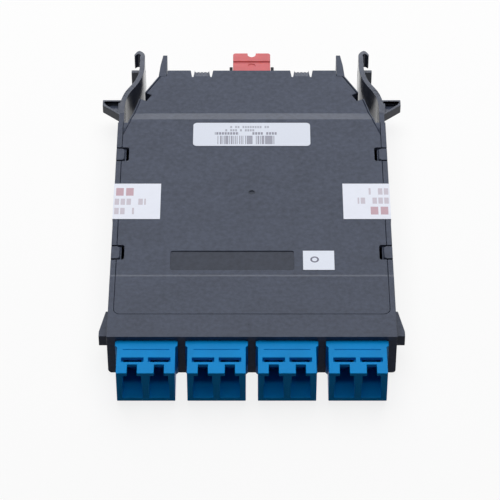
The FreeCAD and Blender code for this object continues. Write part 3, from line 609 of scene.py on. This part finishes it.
def ground_steel():
    """Ground steel of the guide pins, with marks round the pin."""
    finish = Finish("ground steel", Metallic=1.0)
    rings = finish.cells(finish.axis("Y") / (0.05 * MM), 1.0)
    finish.feed("Base Color", finish.mixed(rings, (0.50, 0.50, 0.51), (0.62, 0.62, 0.63)))
    finish.feed("Roughness", 0.22 + rings * 0.14)
    return finish.material


def band(value, low, high):
    """1 where a value lies between two others."""
    return (value > low) * (value < high)


def dashes(finish, along, across, row):
    """The ink of one row of plain dashes."""
    start, end, low, high, pitch = (size * MM for size in row[:5])
    dash = finish.cells(along / pitch, row.seed)
    group = finish.cells(along / (pitch * DASHES_PER_GROUP), row.seed + 0.5)
    inked = (dash > DASHES_OUT) * (group > GROUPS_OUT) * ((along / pitch).fraction() > DASH_GAP)
    return band(along, start, end) * band(across, low, high) * inked * row.strength


def printed(finish, along, across, rows):
    """The ink of several rows."""
    ink = dashes(finish, along, across, rows[0])
    for row in rows[1:]:
        ink = ink.at_least(dashes(finish, along, across, row))
    return ink


def bars(finish, along, across):
    """The ink of a row of plain upright bars, in a random order that holds no code."""
    narrow = finish.cells(along / NARROW_BAR, 5.0)
    wide = finish.cells(along / WIDE_BAR, 9.0)
    inked = narrow + wide * 0.5 > BAR_THRESHOLD
    return band(along, *BARS_ALONG) * band(across, *BARS_ACROSS) * inked * BAR_INK


def label_print():
    """Paper label with rows of dashes over a row of plain upright bars."""
    settings = bpy.context.scene.cassette_print
    low, high = node_box("main_label")
    finish = Finish("label print", IOR=1.45)
    x = finish.axis("X") - (low.x + high.x) / 2
    y = high.y - finish.axis("Y")
    inked = printed(finish, x, y, LABEL_ROWS).at_least(bars(finish, x, y))
    fibre = finish.noise(PAPER_FIBRE, 4, 0.65)
    paper = finish.varied(fibre, settings.paper, 0.94, 1.05)
    finish.feed("Base Color", finish.mixed(inked, paper, settings.ink))
    finish.feed("Roughness", 0.62 - inked * 0.15 + fibre * 0.1)
    finish.bump(fibre - inked * 0.2, PAPER_RELIEF)
    return finish.material


def tag_print():
    """Small label with a plain open ring."""
    settings = bpy.context.scene.cassette_print
    low, high = node_box("small_label")
    finish = Finish("tag print", IOR=1.45)
    x = finish.axis("X") - (low.x + (high.x - low.x) * RING_PLACE[0])
    y = finish.axis("Y") - (low.y + (high.y - low.y) * RING_PLACE[1])
    ring = band(x * x + y * y, RING_INNER**2, RING_OUTER**2)
    fibre = finish.noise(PAPER_FIBRE, 4, 0.65)
    paper = finish.varied(fibre, settings.paper, 1.02, 1.16)
    finish.feed("Base Color", finish.mixed(ring, paper, settings.ink))
    finish.feed("Roughness", 0.6 + fibre * 0.12)
    finish.bump(fibre, PAPER_RELIEF)
    return finish.material


def seal_print():
    """Seal film with one row of accent dashes and two of fainter ones; the left seal is turned round."""
    settings = bpy.context.scene.cassette_print
    low, high = node_box("seal_tape_right")
    finish = Finish("seal print", IOR=1.48)
    half = (high.y - low.y) / 2
    across = finish.axis("X")
    side = (across > 0) * 2 - 1
    x = high.x - abs(across)
    y = half - (finish.axis("Y") - (low.y + half)) * side
    accent = printed(finish, x, y, SEAL_ACCENT)
    faint = printed(finish, x, y, SEAL_FAINT)
    faint_ink = tuple((one + other) / 2 for one, other in zip(settings.ink, settings.accent))
    wave = finish.noise(FILM_WAVE, 3)
    film = finish.varied(wave, settings.film, 0.96, 1.04)
    toned = finish.mixed(faint, film, faint_ink)
    finish.feed("Base Color", finish.mixed(accent, toned, settings.accent))
    finish.feed("Roughness", 0.36 + wave * 0.16)
    finish.bump(wave, FILM_RELIEF)
    return finish.material


# Meshes


def linked(name, mesh):
    """New object of a mesh, in the scene."""
    piece = bpy.data.objects.new(name, mesh)
    bpy.context.scene.collection.objects.link(piece)
    return piece


def from_work(name, work):
    """Mesh of what was worked on, which is then let go."""
    mesh = bpy.data.meshes.new(name)
    work.to_mesh(mesh)
    work.free()
    return mesh


def sharp_edges(work):
    """Edges between two faces that meet at a clear angle."""
    pairs = [edge for edge in work.edges if len(edge.link_faces) == 2]
    return [edge for edge in pairs if edge.calc_face_angle(0) > SHARP_ANGLE]


def round_edges(work, axis, chosen, radius):
    """Rounds the edges that run mostly along one axis and have both ends chosen."""
    edges = []
    for edge in work.edges:
        first, second = (vert.co for vert in edge.verts)
        along = abs((second - first)[axis]) > edge.calc_length() * MOSTLY_ALONG
        if along and chosen(first) and chosen(second):
            edges.append(edge)
    shape = {"segments": ROUND_SEGMENTS, "profile": 0.5, "affect": "EDGES"}
    bmesh.ops.bevel(work, geom=edges, offset=radius, **shape)


def by_a_root(edge):
    """Whether an edge lies where a latch arm grows out of its wall."""
    middle = (edge.verts[0].co + edge.verts[1].co) / 2
    return any((middle - root).xy.length < ROOT_REACH for root in ARM_ROOTS)


def weigh_edges(work, width):
    """Gives each sharp edge as much of the bevel's width as its short neighbours leave room for."""
    layer = work.edges.layers.float.new("bevel_weight_edge")
    for edge in sharp_edges(work):
        if by_a_root(edge):
            continue
        near = [other.calc_length() for vert in edge.verts for other in vert.link_edges if other != edge]
        room = min(near + [edge.calc_length()]) * ROOM_SHARE
        edge[layer] = min(1.0, room / width)


def seam_cutter():
    """Wedge along the seam on both sides, as the tool that cuts its groove."""
    work = bmesh.new()
    reach = SEAM_HALF * (1 + SEAM_ABOVE / SEAM_DEPTH)
    for side in (1, -1):
        points = [Vector((point.x * side, point.y, point.z)) for point in SEAM]
        rings = []
        for i, point in enumerate(points):
            way = points[min(i + 1, len(points) - 1)] - points[max(i - 1, 0)]
            across = Vector((way.y, -way.x, 0)).normalized() * reach
            top = point + Vector((0, 0, SEAM_ABOVE))
            corners = (point - Vector((0, 0, SEAM_DEPTH)), top + across, top - across)
            rings.append([work.verts.new(corner) for corner in corners])
        for ring, after in zip(rings, rings[1:]):
            for i in range(3):
                j = (i + 1) % 3
                work.faces.new((ring[i], ring[j], after[j], after[i]))
        work.faces.new(rings[0][::-1])
        work.faces.new(rings[-1])
    bmesh.ops.recalc_face_normals(work, faces=work.faces)
    return linked("seam cutter", from_work("seam cutter", work))


def softened(node, name, width, shape=None, cutter=None):
    """Copy of a node's mesh with its sharp edges rolled over; it stands for the node.

    A shape works on the mesh before its edges are rolled, and a cutter is taken from it after.
    """
    work = bmesh.new()
    work.from_mesh(frame["nodes"][node].data)
    bmesh.ops.remove_doubles(work, verts=work.verts, dist=WELD)
    bmesh.ops.dissolve_limit(work, angle_limit=FLAT_ANGLE, verts=work.verts, edges=work.edges)
    if shape:
        shape(work)
    weigh_edges(work, width)
    piece = linked(name, from_work(name, work))
    bevel = piece.modifiers.new("rolled edges", "BEVEL")
    bevel.width = width
    bevel.segments = ROLL_SEGMENTS
    bevel.limit_method = "WEIGHT"
    bevel.use_clamp_overlap = False
    if cutter:
        cut = piece.modifiers.new("groove", "BOOLEAN")
        cut.operation = "DIFFERENCE"
        cut.solver = "EXACT"
        cut.object = cutter
    settle(piece)
    if cutter:
        bpy.data.objects.remove(cutter)
    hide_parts(node)
    return piece


def settle(piece):
    """Applies a piece's modifiers, then shades its rolled edges smooth and its flats flat."""
    apply_modifiers(piece)
    for face in piece.data.polygons:
        face.use_smooth = True
    piece.data.set_sharp_from_angle(angle=CREASE_ANGLE)
    normals = piece.modifiers.new("flat flats", "WEIGHTED_NORMAL")
    normals.mode = "FACE_AREA"
    normals.weight = 100
    normals.keep_sharp = True
    apply_modifiers(piece)


def apply_modifiers(piece):
    """Turns what the modifiers make into the piece's own mesh."""
    graph = bpy.context.evaluated_depsgraph_get()
    piece.data = bpy.data.meshes.new_from_object(piece.evaluated_get(graph))
    piece.modifiers.clear()


def paint(mesh, material):
    """Gives a mesh one material."""
    mesh.materials.clear()
    mesh.materials.append(material)


def finished(piece, material):
    """Gives a piece its material."""
    paint(piece.data, material)


def nodes_named(*starts):
    """Names of the CAD nodes that start with any of some words."""
    return sorted(node for node in frame["nodes"] if node.startswith(starts))


def coat(nodes, material):
    """Puts a material on CAD nodes that stay as they are."""
    for node in nodes:
        paint(frame["nodes"][node].data, material)


# Operators


class CASSETTE_OT_housing(bpy.types.Operator):
    """Box and cover with softened edges"""

    bl_idname = "cassette.housing"
    bl_label = "Housing"

    def execute(self, context):
        settings = context.scene.cassette_housing
        looks = {"roughness": 0.22, "specular": 0.1, "grain_depth": 0.008 * MM}
        # Darker plate floor, with painted shade round the gate hole
        material = housing_plastic("housing plastic", **looks, recess=plate_floor_and_gate_shade)
        base = softened("base", "moulded_base", settings.edge, self.round_base)
        cover = softened("cover", "moulded_cover", settings.edge, self.round_wells, seam_cutter())
        for piece in (base, cover):
            finished(piece, material)
            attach(piece, "cassette")
        return {"FINISHED"}

    @staticmethod
    def round_base(work):
        """Rounds the two long bottom edges of the box, and the inner corners of the snap tongues."""
        side = max(vert.co.x for vert in work.verts if vert.co.z < BASE_LOW.z + TOUCH)

        def on_foot(co):
            return co.z < BASE_LOW.z + TOUCH and abs(abs(co.x) - side) < TOUCH

        def on_tongue(co):
            at_tip = abs(abs(co.x) - TONGUE_TIP) < TONGUE_TIP_HALF
            return at_tip and co.z > TONGUE_LOW and abs(co.y) < WELL_REAR

        round_edges(work, 1, on_foot, FOOT_ROUND)
        round_edges(work, 2, on_tongue, TONGUE_ROUND)

    @staticmethod
    def round_wells(work):
        """Rounds the inner corners of the wells that the snap tongues reach into."""

        def in_well(co):
            return abs(abs(co.x) - WELL_INNER) < TOUCH and abs(co.y) < WELL_REAR

        round_edges(work, 2, in_well, WELL_ROUND)


class CASSETTE_OT_latches(bpy.types.Operator):
    """Squeeze arms that bend out of the side walls"""

    bl_idname = "cassette.latches"
    bl_label = "Latch arms"

    def execute(self, context):
        settings = context.scene.cassette_housing
        looks = {"roughness": 0.08, "specular": 0.3, "grain_depth": 0.002 * MM}
        material = housing_plastic("arm plastic", **looks)
        for side, pivot in zip(("right", "left"), ARM_ROOTS):
            node = f"latch_arm_{side}"
            piece = softened(node, f"bent_{node}", settings.edge, self.ring_and_hook)
            finished(piece, material)
            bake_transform(piece)
        return {"FINISHED"}

    @staticmethod
    def ring_and_hook(work):
        """Cuts rings across the root, where the arm flexes, and hooks the upper grip forwards."""
        places = [ARM_ROOTS[0].y + i * RING_STEP for i in range(1, RINGS)]
        for place in places + [GRIP_START]:
            geometry = work.verts[:] + work.edges[:] + work.faces[:]
            bmesh.ops.bisect_plane(work, geom=geometry, plane_co=(0, place, 0), plane_no=(0, 1, 0))
        top = max(vert.co.z for vert in work.verts)
        for vert in work.verts:
            reach = abs(vert.co.x) - GRIP_HOOK_FROM
            if reach > 0 and vert.co.y > GRIP_START and vert.co.z > GRIP_SPLIT:
                vert.co.y -= reach * reach * GRIP_HOOK
                if vert.co.z > top - GRIP_TOP:
                    vert.co.z -= reach * reach * GRIP_DROP


class CASSETTE_OT_adapters(bpy.types.Operator):
    """Duplex LC adapters and what they hold"""

    bl_idname = "cassette.adapters"
    bl_label = "LC adapters"

    def execute(self, context):
        settings = context.scene.cassette_connectors
        blue = smooth_plastic("adapter plastic", settings.adapter_colour, roughness=0.30)
        for node in nodes_named("lc_adapter"):
            piece = softened(node, f"moulded_{node}", settings.edge)
            finished(piece, blue)
            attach(piece, "cassette")
        coat(nodes_named("lc_plug"), blue)
        coat(nodes_named("alignment_sleeve", "lc_ferrule"), zirconia())
        white = smooth_plastic("boot plastic", BOOT_WHITE, roughness=0.45)
        coat(nodes_named("lc_boot", "fanout_block"), white)
        buffer = smooth_plastic("fibre buffer", settings.buffer_colour, roughness=0.4, blotch=2 * MM)
        coat(nodes_named("fibre_"), buffer)
        return {"FINISHED"}


class CASSETTE_OT_mpo(bpy.types.Operator):
    """MPO adapter, the plug inside it and the dust cap"""

    bl_idname = "cassette.mpo"
    bl_label = "MPO port"

    def execute(self, context):
        settings = context.scene.cassette_connectors
        black = smooth_plastic("connector plastic", CONNECTOR_BLACK, roughness=0.36)
        port = softened("mpo_adapter", "moulded_mpo_adapter", settings.edge)
        finished(port, black)
        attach(port, "cassette")
        cap = softened("mpo_dust_cap", "moulded_dust_cap", settings.edge * CAP_SOFTNESS)
        finished(cap, cap_plastic())
        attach(cap, "dust_cap")
        coat(["mpo_plug", "mpo_coupler", "mt_ferrule", "mpo_boot"], black)
        coat(["mt_guide_pins"], ground_steel())
        return {"FINISHED"}


class CASSETTE_OT_print(bpy.types.Operator):
    """Labels on the cover and seals over its edges"""

    bl_idname = "cassette.print"
    bl_label = "Labels and seals"

    def execute(self, context):
        coat(["main_label"], label_print())
        coat(["small_label"], tag_print())
        coat(["seal_tape_left", "seal_tape_right"], seal_print())
        return {"FINISHED"}


class CASSETTE_OT_stage(bpy.types.Operator):
    """Pale floor, soft lamps and the camera"""

    bl_idname = "cassette.stage"
    bl_label = "Stage"

    def execute(self, context):
        settings = context.scene.cassette_stage
        self.add_floor()
        self.add_world(context.scene)
        self.add_lamp("overhead", OVERHEAD_PLACE, OVERHEAD_SIZE, settings.key)
        self.add_lamp("rear strip", REAR_PLACE, REAR_SIZE, settings.rear)
        self.add_camera(context.scene, settings)
        context.scene.view_settings.view_transform = "Standard"
        return {"FINISHED"}

    @staticmethod
    def add_floor():
        """Round sheet that looks white to the camera and keeps the shadow."""
        work = bmesh.new()
        bmesh.ops.create_circle(work, cap_ends=True, segments=FLOOR_SIDES, radius=FLOOR_RADIUS)
        floor = linked("studio_floor", from_work("studio_floor", work))
        floor.location.z = CAD_BOX[0][2] - FLOOR_DROP
        finish = Finish("studio white", Roughness=0.85)
        shown = finish.shown()
        finish.feed("Base Color", finish.mixed(shown, FLOOR_BOUNCE, FLOOR_WHITE))
        glow = finish.add("ShaderNodeEmission", {}, {"Color": WHITE, "Strength": 1.0})
        both = {0: shown * FLOOR_GLOW, 1: finish.lit(), 2: glow}
        finish.show(finish.add("ShaderNodeMixShader", {}, both))
        paint(floor.data, finish.material)

    @staticmethod
    def add_world(scene):
        """Even pale surroundings, white where the camera or a gloss sees them."""
        scene.world = bpy.data.worlds.new("studio")
        tree = Tree(scene.world)
        dim = tree.add("ShaderNodeBackground", {}, {"Color": WHITE, "Strength": WORLD_LIGHT})
        bright = tree.add("ShaderNodeBackground", {}, {"Color": WHITE, "Strength": 1.0})
        both = tree.add("ShaderNodeMixShader", {}, {0: tree.shown(), 1: dim, 2: bright})
        tree.node("ShaderNodeOutputWorld", {}, {"Surface": both})

    @staticmethod
    def add_lamp(name, place, size, power):
        """Square soft lamp that faces the middle of the object."""
        data = bpy.data.lights.new(name, "AREA")
        data.shape = "SQUARE"
        data.size = size
        data.energy = power
        lamp = linked(name, data)
        lamp.location = place
        lamp.rotation_euler = (-place).to_track_quat("-Z", "Y").to_euler()

    @staticmethod
    def add_camera(scene, settings):
        """Camera that looks along +Y and down, near the cassette's middle line."""
        data = bpy.data.cameras.new("camera")
        data.lens = settings.lens
        data.clip_end = 20
        camera = linked("camera", data)
        camera.location = Vector((0, BASE_LOW.y, BASE_LOW.z)) + CAMERA_FROM_FRONT
        camera.rotation_euler = (math.pi / 2 - settings.elevation, 0, 0)
        scene.camera = camera


class CASSETTE_PT_panel(bpy.types.Panel):
    """Lists the steps of the cassette"""

    bl_label = "Cassette"
    bl_idname = "CASSETTE_PT_panel"
    bl_space_type = "VIEW_3D"
    bl_region_type = "UI"
    bl_category = "Cassette"

    def draw(self, context):
        for step in STEPS:
            self.layout.operator(step.bl_idname)


STEPS = (
    CASSETTE_OT_housing,
    CASSETTE_OT_latches,
    CASSETTE_OT_adapters,
    CASSETTE_OT_mpo,
    CASSETTE_OT_print,
    CASSETTE_OT_stage,
)
SETTINGS = {
    "cassette_housing": HousingSettings,
    "cassette_connectors": ConnectorSettings,
    "cassette_print": PrintSettings,
    "cassette_stage": StageSettings,
}


def register():
    """Registers the settings, the operators and the panel."""
    for name, group in SETTINGS.items():
        bpy.utils.register_class(group)
        setattr(bpy.types.Scene, name, PointerProperty(type=group))
    for cls in STEPS + (CASSETTE_PT_panel,):
        bpy.utils.register_class(cls)


def unregister():
    """Takes them out again."""
    for cls in reversed(STEPS + (CASSETTE_PT_panel,)):
        bpy.utils.unregister_class(cls)
    for name, group in SETTINGS.items():
        delattr(bpy.types.Scene, name)
        bpy.utils.unregister_class(group)


def main():
    """Makes everything in order."""
    register()
    for step in STEPS:
        area, name = step.bl_idname.split(".")
        getattr(getattr(bpy.ops, area), name)()


if __name__ == "__main__":
    main()
